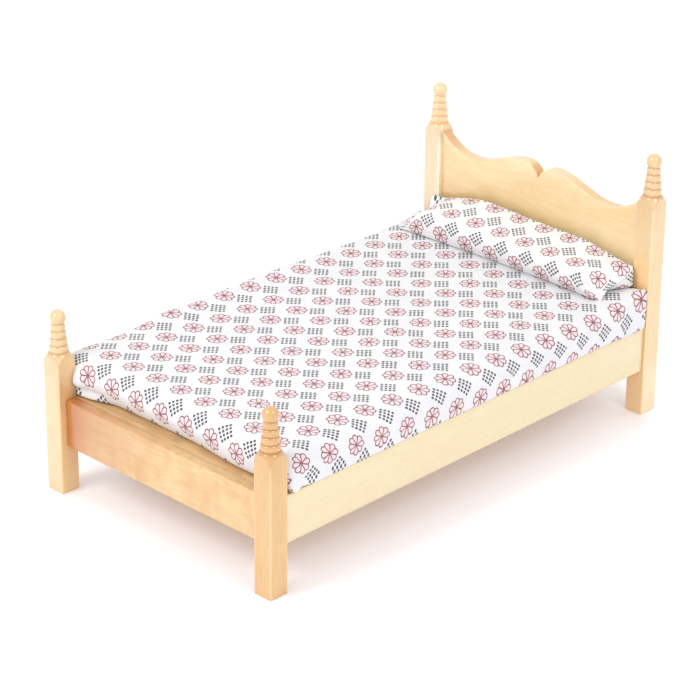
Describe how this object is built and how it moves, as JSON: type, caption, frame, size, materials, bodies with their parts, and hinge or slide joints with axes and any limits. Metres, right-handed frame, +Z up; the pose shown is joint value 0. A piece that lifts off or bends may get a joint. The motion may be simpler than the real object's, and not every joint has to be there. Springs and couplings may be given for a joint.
{
  "type": "dolls house single bed",
  "caption": "Miniature wooden single bed with turned short posts, shaped headboard, printed cotton mattress and pillow.",
  "frame": {"origin": "on the ground, in the middle of the bed's outline", "axes": "+Y from the foot to the headboard, +Z up, X across the bed"},
  "size_m": [0.1006, 0.18, 0.0915],
  "materials": {
    "lacquered_wood": "gloss",
    "plain_wood": "matte",
    "thin_board": "satin",
    "printed_cotton": "matte",
    "foam": "matte",
    "wadding": "matte"
  },
  "bodies": {
    "bedstead": {"base_board": "thin_board", "dowel_foot_rail_left_1": "plain_wood", "dowel_foot_rail_left_2": "plain_wood", "dowel_foot_rail_right_1": "plain_wood", "dowel_foot_rail_right_2": "plain_wood", "dowel_headboard_left_1": "plain_wood", "dowel_headboard_left_2": "plain_wood", "dowel_headboard_right_1": "plain_wood", "dowel_headboard_right_2": "plain_wood", "dowel_side_foot_left_1": "plain_wood", "dowel_side_foot_left_2": "plain_wood", "dowel_side_foot_right_1": "plain_wood", "dowel_side_foot_right_2": "plain_wood", "dowel_side_head_left_1": "plain_wood", "dowel_side_head_left_2": "plain_wood", "dowel_side_head_right_1": "plain_wood", "dowel_side_head_right_2": "plain_wood", "foot_post_left": "lacquered_wood", "foot_post_right": "lacquered_wood", "foot_rail": "lacquered_wood", "head_post_left": "lacquered_wood", "head_post_right": "lacquered_wood", "headboard": "lacquered_wood", "ledge_left": "plain_wood", "ledge_right": "plain_wood", "side_rail_left": "lacquered_wood", "side_rail_right": "lacquered_wood"},
    "mattress": {"mattress_core": "foam", "mattress_cover": "printed_cotton"},
    "pillow": {"pillow_filling": "wadding", "pillow_case": "printed_cotton"}
  },
  "joints": [
    {"name": "mattress_lift", "type": "slide", "parent": "bedstead", "child": "mattress", "axis": [0, 0, 1], "range_m": [0, 0.065]},
    {"name": "pillow_lift", "type": "slide", "parent": "mattress", "child": "pillow", "axis": [0, 0, 1], "range_m": [0, 0.05]}
  ]
}
